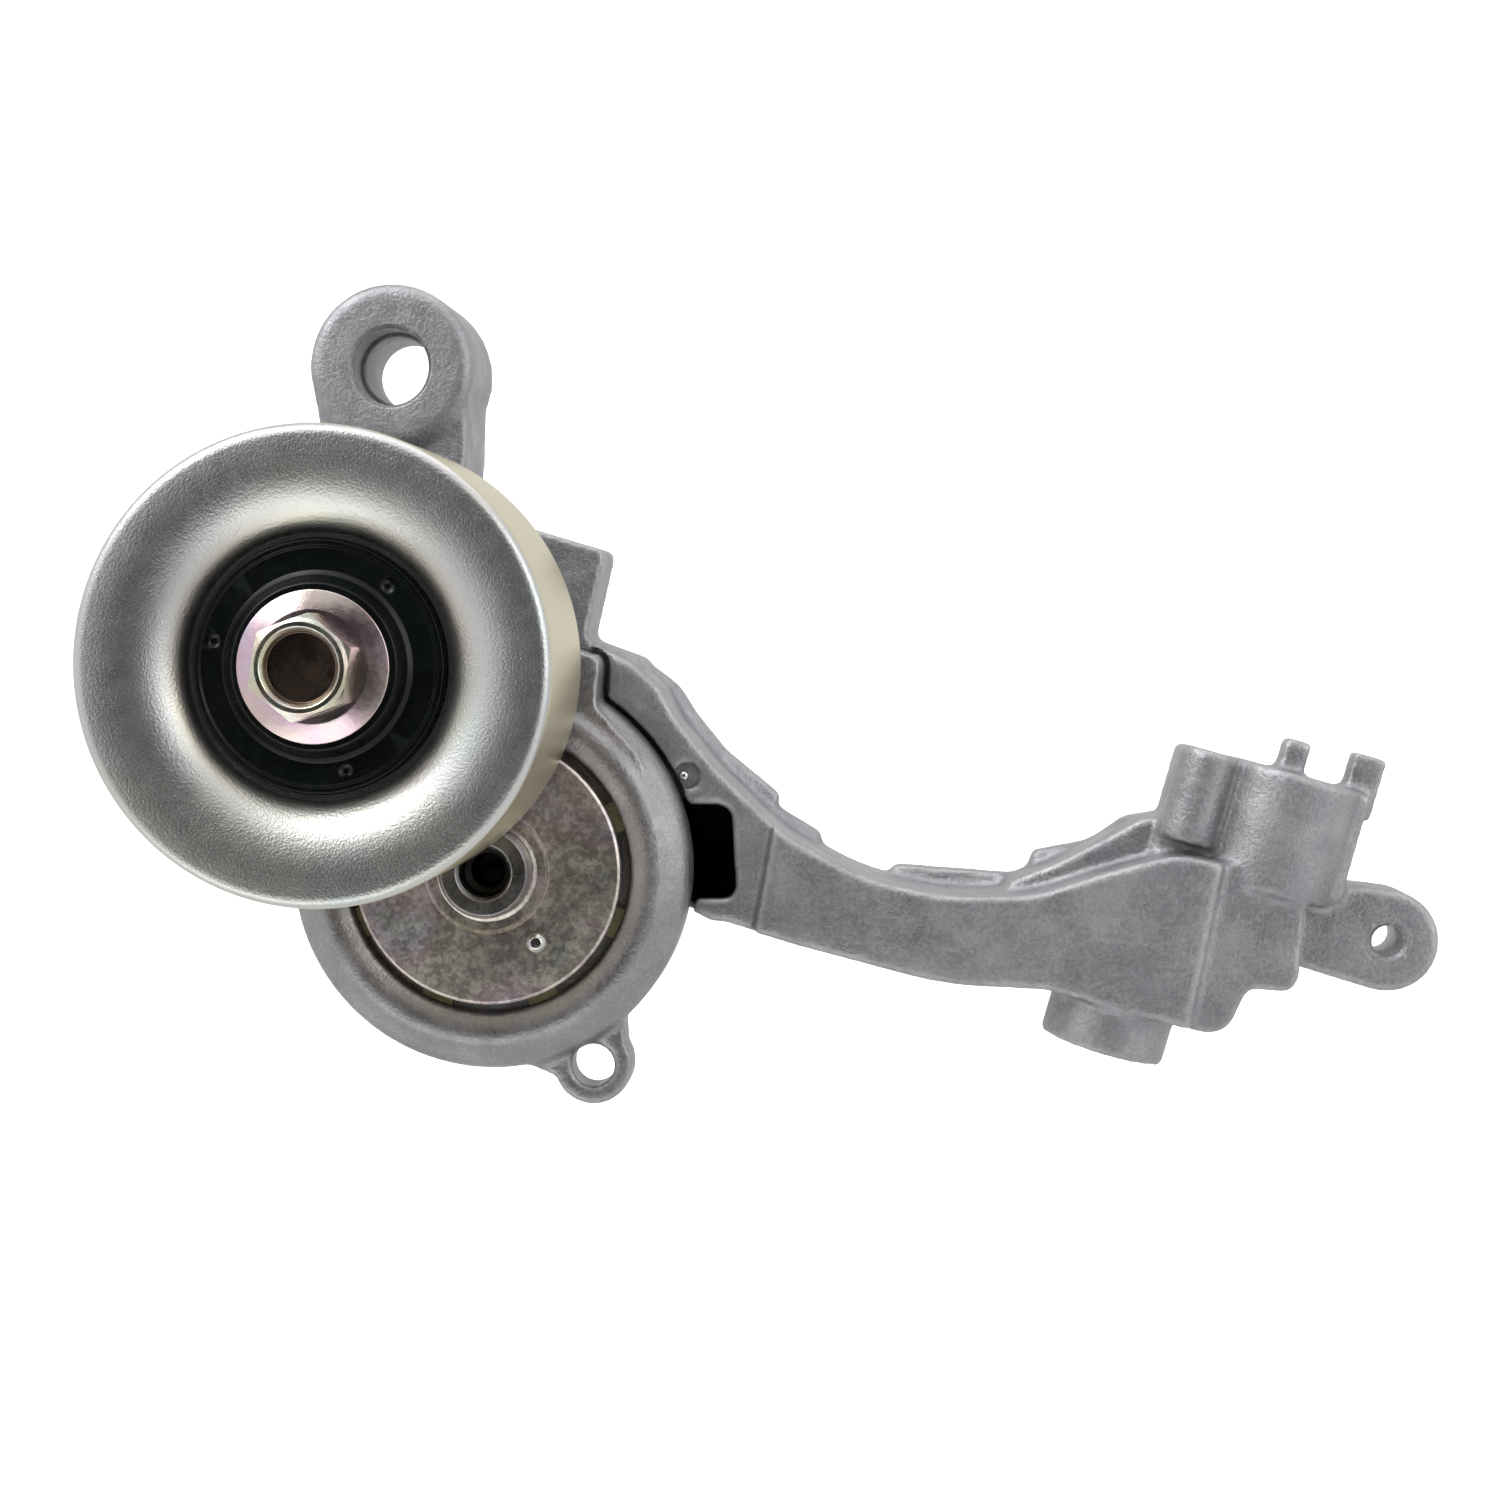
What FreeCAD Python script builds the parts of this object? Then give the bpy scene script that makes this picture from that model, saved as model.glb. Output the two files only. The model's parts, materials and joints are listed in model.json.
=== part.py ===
import FreeCAD, Part

import math
import os
import re

import Sketcher

# Belt tensioner idler for an engine's accessory belt, in millimetres.
# The origin is on the arm's pivot axis, in the plane of the rear mounting face.
# The pivot and the pulley turn about axes along Y; the front is towards -Y and +Z is up.

DIMENSIONS = {
    # pulley axis and pulley
    "pulley_x": -19.7,
    "pulley_z": 33.4,
    "pulley_radius": 35.8,
    "pulley_front": -63.0,
    "pulley_back": -31.5,
    "pulley_wall": 2.3,
    "bell_crest": 31.8,
    "bell_reach": 11.8,
    "bell_depth": 7.0,
    "bell_reach_back": 9.5,
    "bell_depth_back": 4.7,
    "seat_radius": 20.0,
    "seat_wall": 2.3,
    "seat_back": -43.5,
    # ball bearing, 17 x 40 x 12
    "bearing_front": -56.0,
    "bearing_width": 12.0,
    "bearing_bore": 8.5,
    "inner_ring_radius": 12.0,
    "outer_ring_inside": 16.6,
    "pitch_radius": 14.25,
    "ball_radius": 3.3,
    "groove_radius": 3.45,
    "ball_count": 8,
    "cage_inside": 13.3,
    "cage_outside": 15.2,
    "cage_half_width": 4.0,
    "seal_inside": 12.35,
    "seal_thickness": 0.6,
    "seal_inset": 0.1,
    # what clamps the bearing to the arm
    "bolt_radius": 5.0,
    "bolt_tip": -24.0,
    "hex_base": -62.0,
    "hex_height": 7.0,
    "hex_flats": 14.0,
    "recess_radius": 5.4,
    "recess_depth": 1.6,
    "washer_radius": 11.5,
    "washer_back": -60.4,
    "washer_rim": 0.5,
    "cover_radius": 19.2,
    "cover_front": -57.7,
    "cover_skin": 0.8,
    "cover_crown": 12.6,
    "sleeve_flange": 10.8,
    "shield_inside": 10.6,
    "shield_radius": 19.3,
    "shield_front": -43.4,
    "shield_thickness": 0.8,
    # tensioner arm
    "arm_radius": 32.7,
    "arm_crest_radius": 26.7,
    "arm_front": -28.5,
    "arm_back": -16.6,
    "arm_seat_radius": 23.3,
    "arm_floor_front": -24.2,
    "arm_floor_back": -20.0,
    "arm_hub_radius": 13.5,
    "arm_hub_back": -6.5,
    "arm_skirt_inside": 23.7,
    "arm_skirt_radius": 25.0,
    "arm_skirt_back": -9.0,
    "arm_link_front": -27.0,
    "arm_boss_front": -44.0,
    "arm_boss_radius": 10.4,
    "arm_boss_foot": 13.5,
    "arm_ear_x": 16.5,
    "arm_ear_z": -32.3,
    "arm_ear_radius": 6.4,
    "arm_ear_hole": 3.5,
    "arm_ear_front": -23.5,
    # pivot
    "post_radius": 8.0,
    "post_back": -1.5,
    "post_neck": 6.0,
    "post_head": 7.5,
    "post_front": -30.9,
    "post_hole": 4.0,
    "post_hole_depth": 4.5,
    "post_core": 2.6,
    "post_core_depth": 9.0,
    "bushing_radius": 9.5,
    "bushing_clearance": 0.05,
    "bushing_back": -7.0,
    "plate_radius": 21.75,
    "plate_front": -28.0,
    "plate_back": -25.5,
    "rivet_x": 8.1,
    "rivet_z": -11.5,
    "rivet_head": 1.6,
    "rivet_shank": 0.9,
    "thrust_radius": 21.3,
    "thrust_front": -25.3,
    "tab_reach": 23.1,
    "tab_width": 5.0,
    "tab_count": 8,
    "damper_radius": 27.1,
    "damper_front": -15.5,
    "damper_back": -9.5,
    # torsion spring
    "spring_radius": 20.4,
    "spring_wire": 1.9,
    "spring_pitch": 4.1,
    "spring_turns": 3,
    "spring_sides": 16,
    "spring_back": -3.5,
    # mounting bracket
    "cup_radius": 30.5,
    "cup_inside": 27.5,
    "cup_front": -16.0,
    "cup_floor": -3.0,
    "cup_boss_radius": 11.5,
    "cup_boss_front": -6.0,
    "ring_clearance": 0.8,
    "lug_x": -16.7,
    "lug_z": 82.1,
    "lug_radius": 13.6,
    "lug_front": -20.0,
    "lug_counterbore": 6.25,
    "lug_step": -13.0,
    "lug_bore": 5.65,
    "neck_front": -18.5,
    "shelf_front": -15.5,
    "web_front": -20.0,
    "beam_front": -22.0,
    "flange_front": -5.0,
    "pocket_front": -17.0,
    "ear_x": 146.3,
    "ear_z": -12.4,
    "ear_radius": 8.3,
    "ear_front": -14.0,
    "ear_thread": 2.55,
    "ear_chamfer": 3.2,
    "housing_tilt": 16.0,
    "boss_radius": 10.3,
    "boss_bore": 6.5,
    "boss_bore_depth": 13.0,
    "finger_depth": 5.5,
    "lug_rounding": 1.9,
    "saddle_front": -14.0,
    "face_step": 1.6,
    "pin_mark_radius": 2.3,
}

doc = FreeCAD.newDocument("belt_tensioner_idler")
sheet = doc.addObject("Spreadsheet::Sheet", "dims")
for row, (alias, size) in enumerate(DIMENSIONS.items(), start=1):
    sheet.set(f"A{row}", alias)
    sheet.set(f"B{row}", str(size))
    sheet.setAlias(f"B{row}", alias)
doc.recompute()

parts = {}


def dim(alias):
    """The value of one cell of the sheet."""
    return float(sheet.get(alias))


def bound(formula):
    """A formula of cell aliases, written as an expression on the sheet."""
    return re.sub(r"[a-z]\w*", lambda word: "dims." + word.group(0), formula)


def size_of(formula):
    """The number a formula comes to: cells and plain numbers joined by +, -, * and /."""
    total, sign, term, dividing = 0.0, 1.0, None, False
    for word in formula.split():
        if word in ("+", "-"):
            total, sign, term = total + sign * term, 1.0 if word == "+" else -1.0, None
        elif word in ("*", "/"):
            dividing = word == "/"
        else:
            value = dim(word) if word in DIMENSIONS else float(word)
            term = value if term is None else term / value if dividing else term * value
            dividing = False
    return total + sign * term


def place(thing, x, y, z):
    for axis, formula in (("x", x), ("y", y), ("z", z)):
        thing.setExpression(f"Placement.Base.{axis}", bound(formula))


def new_body(label):
    body = doc.addObject("PartDesign::Body", label)
    body.Label = label
    parts[label] = body
    return body


def new_sketch(body, name, plane):
    sketch = body.newObject("Sketcher::SketchObject", name)
    origin_planes = body.Origin.OriginFeatures
    sketch.AttachmentSupport = [(next(p for p in origin_planes if p.Role == plane), "")]
    sketch.MapMode = "FlatFace"
    return sketch


def circle(sketch, radius):
    index = sketch.addGeometry(
        Part.Circle(FreeCAD.Vector(), FreeCAD.Vector(0, 0, 1), size_of(radius)))
    sketch.addConstraint(Sketcher.Constraint("Coincident", index, 3, -1, 1))
    datum = sketch.addConstraint(Sketcher.Constraint("Radius", index, size_of(radius)))
    sketch.setExpression(f"Constraints[{datum}]", bound(radius))


def ring(label, outside, inside, back, thickness, x="0", z="0"):
    """A flat ring that faces along Y: its back face at `back`, built towards the front."""
    body = new_body(label)
    sketch = new_sketch(body, label + "_outline", "XZ_Plane")
    circle(sketch, outside)
    circle(sketch, inside)
    pad = body.newObject("PartDesign::Pad", label + "_pad")
    pad.Profile = sketch
    pad.setExpression("Length", bound(thickness))
    place(body, x, back, z)
    return body


def turned(label, profile, x="0", z="0"):
    """A piece turned about an axis along Y, from a closed profile of (radius, y) formulas."""
    body = new_body(label)
    sketch = new_sketch(body, label + "_profile", "XY_Plane")
    spots = [FreeCAD.Vector(size_of(r), size_of(y), 0) for r, y in profile]
    for index, spot in enumerate(spots):
        sketch.addGeometry(Part.LineSegment(spot, spots[(index + 1) % len(spots)]))
    for index, (r, y) in enumerate(profile):
        after = (index + 1) % len(spots)
        sketch.addConstraint(Sketcher.Constraint("Coincident", index, 2, after, 1))
        if spots[index].x:
            datum = sketch.addConstraint(
                Sketcher.Constraint("DistanceX", -1, 1, index, 1, spots[index].x))
            sketch.setExpression(f"Constraints[{datum}]", bound(r))
        else:
            sketch.addConstraint(Sketcher.Constraint("PointOnObject", index, 1, -2))
        datum = sketch.addConstraint(
            Sketcher.Constraint("DistanceY", -1, 1, index, 1, spots[index].y))
        sketch.setExpression(f"Constraints[{datum}]", bound(y))
    turn = body.newObject("PartDesign::Revolution", label + "_turn")
    turn.Profile = sketch
    turn.ReferenceAxis = (sketch, ["V_Axis"])
    turn.Angle = 360.0
    place(body, x, "0", z)
    return body


def feature(label, shape):
    piece = doc.addObject("Part::Feature", label)
    piece.Label = label
    piece.Shape = shape.removeSplitter()
    parts[label] = piece
    return piece


# ---- plain solids for the castings -------------------------------------------------

FRONTWARDS = FreeCAD.Vector(0, -1, 0)


def drum(x, z, radius, back, front):
    """A cylinder along Y between two depths."""
    return Part.makeCylinder(radius, back - front, FreeCAD.Vector(x, back, z), FRONTWARDS)


def outline(corners):
    """A closed wire in the XZ plane, with each (x, z, radius) corner rounded."""
    flat = [FreeCAD.Vector(x, 0, z) for x, z, _ in corners]
    starts, ends, arcs = [], [], []
    for index, (_, _, radius) in enumerate(corners):
        corner = flat[index]
        before = (flat[index - 1] - corner).normalize()
        after = (flat[(index + 1) % len(flat)] - corner).normalize()
        half = before.getAngle(after) / 2
        reach = radius / math.tan(half)
        starts.append(corner + before * reach)
        ends.append(corner + after * reach)
        bisector = (before + after).normalize()
        middle = corner + bisector * (radius / math.sin(half) - radius)
        arcs.append(Part.Arc(starts[-1], middle, ends[-1]).toShape() if radius else None)
    edges = []
    for index in range(len(flat)):
        if arcs[index]:
            edges.append(arcs[index])
        following = starts[(index + 1) % len(flat)]
        if ends[index].distanceToPoint(following) > 0.001:
            edges.append(Part.LineSegment(ends[index], following).toShape())
    return Part.Wire(edges)


def slab(corners, back, front):
    """An outline pulled through the depth from its back to its front."""
    face = Part.Face(outline(corners))
    face.translate(FreeCAD.Vector(0, back, 0))
    return face.extrude(FRONTWARDS * (back - front))


def leaning(x, y, z, radius, length):
    """A cylinder whose axis leans right of vertical by the housing's tilt."""
    tilt = math.radians(dim("housing_tilt"))
    up = FreeCAD.Vector(math.sin(tilt), 0, math.cos(tilt))
    return Part.makeCylinder(radius, length, FreeCAD.Vector(x, y, z), up)


# The arm's neck from the ring up to the pulley's boss, which the bracket's web makes room for.
LINK_CORNERS = [
    (27.0, 12.0, 3), (24.6, 19.0, 3), (17.8, 26.4, 2.5), (18.4, 34.4, 1.5), (0.0, 40.0, 20),
    (-14.0, 49.0, 8), (-32.0, 46.0, 9), (-36.0, 24.0, 16), (-30.0, 0.0, 4), (0.0, 8.0, 0),
]


# ---- mounting bracket --------------------------------------------------------------

def long_beam():
    """The curved beam that carries the right-hand housing."""
    return slab([
        (26.5, 30.0, 2), (29.8, 24.0, 6), (36.0, 16.4, 20), (47.5, 5.6, 30), (60.5, -1.6, 40),
        (74.0, -4.6, 40), (88.0, -4.4, 25), (99.0, -0.8, 25), (111.0, 2.6, 14), (132.0, -1.8, 3),
        (131.0, -17.5, 0.8), (129.6, -20.0, 2), (122.8, -19.4, 1.5), (119.0, -27.6, 4.5),
        (90.0, -19.6, 2), (74.0, -19.0, 60), (50.0, -12.7, 20), (31.0, -7.0, 2), (20.0, 10.0, 0),
    ], 0, dim("beam_front"))


def back_flange():
    """The rear edge of the beam, which stands a little proud of it."""
    return slab([
        (14.0, 36.4, 1), (22.5, 34.4, 5), (29.0, 29.4, 6), (32.0, 24.6, 5), (37.0, 18.4, 10),
        (46.4, 10.6, 0.8), (45.4, 9.0, 0.5), (53.0, 4.4, 1), (53.4, 2.4, 0.5), (60.0, -2.0, 8),
        (64.0, -3.0, 1), (65.8, -1.0, 1.2), (87.8, -2.6, 1), (89.0, 1.4, 1.2), (98.6, 3.2, 8),
        (104.2, 7.2, 2), (112.0, 8.6, 2), (124.0, 6.0, 1), (139.0, 0.5, 1), (140.5, -10.0, 1),
        (112.0, -16.0, 1), (90.0, -12.0, 20), (60.0, -10.0, 20), (30.0, 0.0, 1),
    ], 0, dim("flange_front"))


def housing():
    """The leaning housing on the beam's right end, with its two fingers and lower boss."""
    middle = dim("beam_front") / 2
    large = leaning(126.4, middle, -4.0, -middle, 19.6)
    small = leaning(113.2, middle - 3.4, 4.0, 4.8, 15.4)
    bridge = slab([(107.4, 1.0, 1), (112.8, 20.0, 1), (143.2, 11.5, 1), (138.4, -6.0, 1)],
                  middle + 7.0, middle - 4.4)
    boss = leaning(99.9, middle, -30.4, dim("boss_radius"), 16.0)
    shape = large.fuse([small, bridge, boss])
    for left, low, back, width, height in ((128.3, 11.3, -1.0, 4.3, 9.8),
                                           (138.4, 8.5, middle + 5.0, 5.4, 10.4)):
        finger = Part.makeBox(width, dim("finger_depth"), height)
        finger.rotate(FreeCAD.Vector(), FreeCAD.Vector(0, 1, 0), dim("housing_tilt"))
        finger.translate(FreeCAD.Vector(left, back - dim("finger_depth"), low))
        shape = shape.fuse(finger)
    bore = leaning(99.9, middle, -30.4, dim("boss_bore"), dim("boss_bore_depth"))
    return shape, bore


def saddle():
    """The rising shoulder between the beam and the housing, behind the beam's front edge."""
    return slab([
        (84.0, -3.0, 2), (92.0, 0.1, 8), (100.0, 4.2, 10), (106.0, 7.6, 5), (114.0, 8.8, 2),
        (124.0, 7.0, 1), (124.0, -8.0, 0), (84.0, -12.0, 0),
    ], 0, dim("saddle_front"))


def mounting_bracket():
    cup = drum(0, 0, dim("cup_radius"), 0, dim("cup_front"))
    lug = drum(dim("lug_x"), dim("lug_z"), dim("lug_radius"), 0, dim("lug_front"))
    lug = lug.makeFillet(dim("lug_rounding"), [
        edge for edge in lug.Edges if abs(edge.CenterOfMass.y - dim("lug_front")) < 0.01])
    neck = slab([
        (-30.2, 81.0, 0), (-4.0, 81.0, 0), (-5.0, 60.0, 8), (-2.0, 52.0, 3), (-24.0, 48.0, 3),
        (-27.0, 60.0, 10),
    ], 0, dim("neck_front"))
    shelf = slab([
        (-29.0, 68.0, 2), (-5.0, 66.0, 6), (-2.0, 58.0, 6), (18.0, 52.0, 1.4), (14.6, 37.4, 1.2),
        (24.0, 34.0, 2), (27.0, 18.0, 2), (-27.0, 12.0, 2),
    ], 0, dim("shelf_front"))
    web = slab([
        (15.4, 37.0, 0.5), (22.6, 33.6, 5), (27.4, 29.4, 3), (30.0, 24.4, 6), (36.2, 16.6, 20),
        (46.0, 7.0, 2), (43.0, -9.0, 2), (35.5, -9.0, 4), (22.0, 0.0, 2),
    ], 0, dim("web_front"))
    ear = drum(dim("ear_x"), dim("ear_z"), dim("ear_radius"), 0, dim("ear_front")).fuse(slab([
        (120.0, -1.0, 0), (134.0, -2.6, 2), (146.6, -4.1, 0), (143.6, -20.3, 0), (120.0, -13.0, 0),
    ], 0, dim("ear_front")))
    leaning_housing, boss_bore = housing()
    room_face = Part.Face(outline(LINK_CORNERS)).makeOffset2D(dim("ring_clearance"))
    room_face.translate(FreeCAD.Vector(0, dim("cup_front"), 0))
    arm_room = drum(0, 0, dim("arm_radius") + dim("ring_clearance"), dim("cup_front"),
                    dim("beam_front") - 1).fuse(room_face.extrude(FRONTWARDS * 10))
    step = slab([(119.6, 6.0, 0), (136.0, 4.0, 0), (134.0, -30.0, 0), (112.4, -30.0, 0)],
                dim("beam_front") + dim("face_step"), dim("beam_front") - 1)
    web_side = slab([(8.0, 44.0, 0), (53.0, 44.0, 0), (46.4, 9.0, 0), (42.2, -13.5, 0),
                     (41.0, -20.0, 0), (8.0, -20.0, 0)], dim("web_front"), dim("beam_front") - 1)
    outer = long_beam().cut([step, web_side]).fuse(
        [web, back_flange(), saddle(), leaning_housing, ear, shelf, neck])
    solid = outer.cut(arm_room).fuse([cup, lug])
    openings = [
        drum(0, 0, dim("cup_inside"), dim("cup_floor"), dim("beam_front")),
        drum(dim("lug_x"), dim("lug_z"), dim("lug_bore"), 1, dim("lug_front") - 1),
        drum(dim("lug_x"), dim("lug_z"), dim("lug_counterbore"), dim("lug_step"),
             dim("lug_front") - 1),
        drum(dim("ear_x"), dim("ear_z"), dim("ear_thread"), 1, dim("ear_front") - 1),
        Part.makeCone(dim("ear_thread"), dim("ear_chamfer"), 0.65,
                      FreeCAD.Vector(dim("ear_x"), dim("ear_front") + 0.65, dim("ear_z")),
                      FRONTWARDS),
        drum(31.8, 15.0, dim("pin_mark_radius"), dim("web_front") + 1.2, dim("beam_front")),
        slab([(29.0, 10.2, 0), (39.0, 10.2, 2.4), (39.8, -5.2, 2.0), (29.0, -5.2, 0)],
             dim("cup_floor"), dim("beam_front") - 1).cut(
                 drum(0, 0, dim("cup_radius") + 0.5, 0, dim("beam_front") - 2)),
        boss_bore,
    ]
    openings += rear_pockets()
    solid = solid.cut(openings)
    pivot_boss = drum(0, 0, dim("cup_boss_radius"), dim("cup_floor"), dim("cup_boss_front"))
    pin = Part.makeSphere(0.8, FreeCAD.Vector(31.3, dim("web_front") + 0.9, 15.0))
    solid = solid.fuse([pivot_boss, pin])
    seat = drum(0, 0, dim("post_radius"), dim("post_back"), dim("cup_boss_front") - 1)
    return solid.cut(seat)


def rear_pockets():
    """Pockets behind the beam, with a rib between each and the next."""
    pockets = []
    for left, top, bottom, lean in ((48.0, -0.5, -9.0, -4.0), (62.5, -6.0, -13.6, -1.5),
                                    (77.0, -8.0, -15.6, 0.2), (91.5, -6.5, -15.6, 3.0)):
        right = left + 12.0
        pockets.append(slab([
            (left, top, 1.5), (right, top + lean, 1.5), (right, bottom + lean, 1.5),
            (left, bottom, 1.5),
        ], 1, dim("pocket_front")))
    return pockets


feature("mounting_bracket", mounting_bracket())


# ---- tensioner arm -----------------------------------------------------------------

def arm_ring():
    """The ring round the pivot: hub, floor, spring skirt and rolled rim in one section."""
    seat, rim, crest = dim("arm_seat_radius"), dim("arm_radius"), dim("arm_crest_radius")
    front, back = dim("arm_front"), dim("arm_back")
    floor_front, floor_back = dim("arm_floor_front"), dim("arm_floor_back")
    bore = dim("bushing_radius")
    spots = [
        (bore, dim("arm_hub_back")), (bore, floor_front), (seat, floor_front),
        (seat, front + 1.5), (seat + 0.5, front + 1.1), (crest - 1.4, front + 0.3),
        (crest, front), (crest + 1.5, front + 0.4), (crest + 3.0, front + 1.6),
        (rim - 0.8, front + 3.0), (rim, front + 4.4), (rim, back),
        (dim("arm_skirt_radius"), back), (dim("arm_skirt_radius"), dim("arm_skirt_back")),
        (dim("arm_skirt_inside"), dim("arm_skirt_back")), (dim("arm_skirt_inside"), floor_back),
        (dim("arm_hub_radius"), floor_back), (dim("arm_hub_radius"), dim("arm_hub_back")),
    ]
    wire = Part.makePolygon([FreeCAD.Vector(r, y, 0) for r, y in spots + spots[:1]])
    return Part.Face(wire).revolve(FreeCAD.Vector(), FreeCAD.Vector(0, 1, 0), 360)


def tensioner_arm():
    px, pz = dim("pulley_x"), dim("pulley_z")
    ear_x, ear_z = dim("arm_ear_x"), dim("arm_ear_z")
    back = dim("arm_back")
    link = slab(LINK_CORNERS, back, dim("arm_link_front")).cut(
        drum(0, 0, dim("arm_crest_radius"), back + 1, dim("arm_front") - 1))
    boss = Part.makeCone(dim("arm_boss_foot"), dim("arm_boss_radius"),
                         dim("arm_link_front") - dim("arm_boss_front"),
                         FreeCAD.Vector(px, dim("arm_link_front"), pz), FRONTWARDS)
    ear = drum(ear_x, ear_z, dim("arm_ear_radius"), back, dim("arm_ear_front"))
    ear_root = slab([
        (3.0, -31.0, 0), (10.9, -34.4, 0), (14.5, -29.0, 0), (21.9, -29.2, 0), (21.6, -23.6, 0),
        (14.0, -20.0, 0),
    ], back, dim("arm_ear_front")).cut(drum(0, 0, 28.0, 0, dim("arm_front")))
    solid = arm_ring().fuse([link, boss, ear, ear_root])
    return solid.cut([
        drum(px, pz, dim("bolt_radius"), back + 1, dim("arm_boss_front") - 1),
        drum(ear_x, ear_z, dim("arm_ear_hole"), back + 1, dim("arm_ear_front") - 1),
    ])


feature("tensioner_arm", tensioner_arm())


# ---- pivot -------------------------------------------------------------------------

turned("pivot_post", [
    ("0", "post_back"), ("post_radius", "post_back"), ("post_radius", "plate_back"),
    ("post_neck", "plate_back"), ("post_neck", "plate_front"), ("post_head", "plate_front"),
    ("post_head", "post_front + 0.5"), ("post_head - 0.5", "post_front"),
    ("post_hole", "post_front"), ("post_hole", "post_front + post_hole_depth"),
    ("post_core", "post_front + post_hole_depth"),
    ("post_core", "post_front + post_core_depth"), ("0", "post_front + post_core_depth"),
])

ring("pivot_bushing", "bushing_radius", "post_radius + bushing_clearance", "bushing_back",
     "bushing_back - arm_floor_front")


def front_plate():
    """The steel disc that holds the arm on the post, with the rivet's hole in it."""
    body = ring("front_plate", "plate_radius", "post_neck", "plate_back",
                "plate_back - plate_front")
    sketch = new_sketch(body, "rivet_hole", "XZ_Plane")
    hole = sketch.addGeometry(Part.Circle(
        FreeCAD.Vector(dim("rivet_x"), dim("rivet_z"), 0), FreeCAD.Vector(0, 0, 1),
        dim("rivet_shank")))
    for kind, alias in (("DistanceX", "rivet_x"), ("DistanceY", "rivet_z")):
        datum = sketch.addConstraint(Sketcher.Constraint(kind, -1, 1, hole, 3, dim(alias)))
        sketch.setExpression(f"Constraints[{datum}]", bound(alias))
    datum = sketch.addConstraint(Sketcher.Constraint("Radius", hole, dim("rivet_shank")))
    sketch.setExpression(f"Constraints[{datum}]", bound("rivet_shank"))
    pocket = body.newObject("PartDesign::Pocket", "rivet_pocket")
    pocket.Profile = sketch
    pocket.Type = "ThroughAll"
    pocket.Midplane = True


front_plate()

turned("plate_rivet", [
    ("0", "plate_back"), ("rivet_shank", "plate_back"), ("rivet_shank", "plate_front"),
    ("rivet_head", "plate_front"), ("rivet_head * 0.94", "plate_front - rivet_head * 0.3"),
    ("rivet_head * 0.7", "plate_front - rivet_head * 0.65"),
    ("rivet_head * 0.35", "plate_front - rivet_head * 0.85"),
    ("0", "plate_front - rivet_head * 0.9"),
], "rivet_x", "rivet_z")


def thrust_washer():
    """A plastic washer between plate and arm, with tabs in the gap round the plate."""
    front, back = dim("thrust_front"), dim("arm_floor_front")
    disc = drum(0, 0, dim("thrust_radius"), back, front)
    for index in range(int(dim("tab_count"))):
        half = dim("tab_width") / 2
        tab = Part.makeBox(dim("tab_reach") - 15.0, back - front, 2 * half,
                           FreeCAD.Vector(15.0, front, -half))
        angle = 360.0 / dim("tab_count") * (index + 0.5)
        tab.rotate(FreeCAD.Vector(), FreeCAD.Vector(0, 1, 0), angle)
        disc = disc.fuse(tab)
    disc = disc.common(drum(0, 0, dim("tab_reach"), back, front))
    return disc.cut(drum(0, 0, dim("bushing_radius") + 0.3, back + 1, front - 1))


feature("thrust_washer", thrust_washer())

ring("damping_ring", "damper_radius", "arm_skirt_radius", "damper_back",
     "damper_back - damper_front")


def torsion_spring():
    """Round wire wound about the pivot inside the cup, in short lengths with mitred ends."""
    count, wire = int(dim("spring_sides")), dim("spring_wire")
    spots = [FreeCAD.Vector(
        dim("spring_radius") * math.cos(2 * math.pi * index / count),
        dim("spring_radius") * math.sin(2 * math.pi * index / count),
        dim("spring_pitch") * index / count) for index in range(-1, 3)]
    runs = [(after - before).normalize() for before, after in zip(spots, spots[1:])]
    length = Part.makeCylinder(wire, (spots[2] - spots[1]).Length + 6, spots[1] - runs[1] * 3,
                               runs[1])
    for spot, before, after, side in ((spots[1], runs[0], runs[1], 1),
                                      (spots[2], runs[1], runs[2], -1)):
        across = (before + after).normalize()
        mitre = Part.makePlane(20, 20, spot, across)
        mitre.translate(spot - mitre.CenterOfMass)
        length = length.common(mitre.Faces[0].makeHalfSpace(spot + across * side))
    total = int(count * dim("spring_turns"))
    skins = []
    for index in range(total):
        piece = length.copy()
        piece.rotate(FreeCAD.Vector(), FreeCAD.Vector(0, 0, 1), 360 / count * index)
        piece.translate(FreeCAD.Vector(0, 0, dim("spring_pitch") / count * index))
        ends = sorted((face for face in piece.Faces if isinstance(face.Surface, Part.Plane)),
                      key=lambda face: face.CenterOfMass.z)
        skins += [face for face in piece.Faces if isinstance(face.Surface, Part.Cylinder)]
        skins += ends[:1] if index == 0 else ends[-1:] if index == total - 1 else []
    shell = Part.makeShell(skins)
    shell.sewShape()
    spring = Part.makeSolid(shell if shell.ShapeType == "Shell" else shell.Shells[0])
    spring.rotate(FreeCAD.Vector(), FreeCAD.Vector(1, 0, 0), 90)
    spring.translate(FreeCAD.Vector(0, dim("spring_back") - wire, 0))
    return spring


feature("torsion_spring", torsion_spring())


# ---- pulley ------------------------------------------------------------------------

PULLEY = ("pulley_x", "pulley_z")

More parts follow.
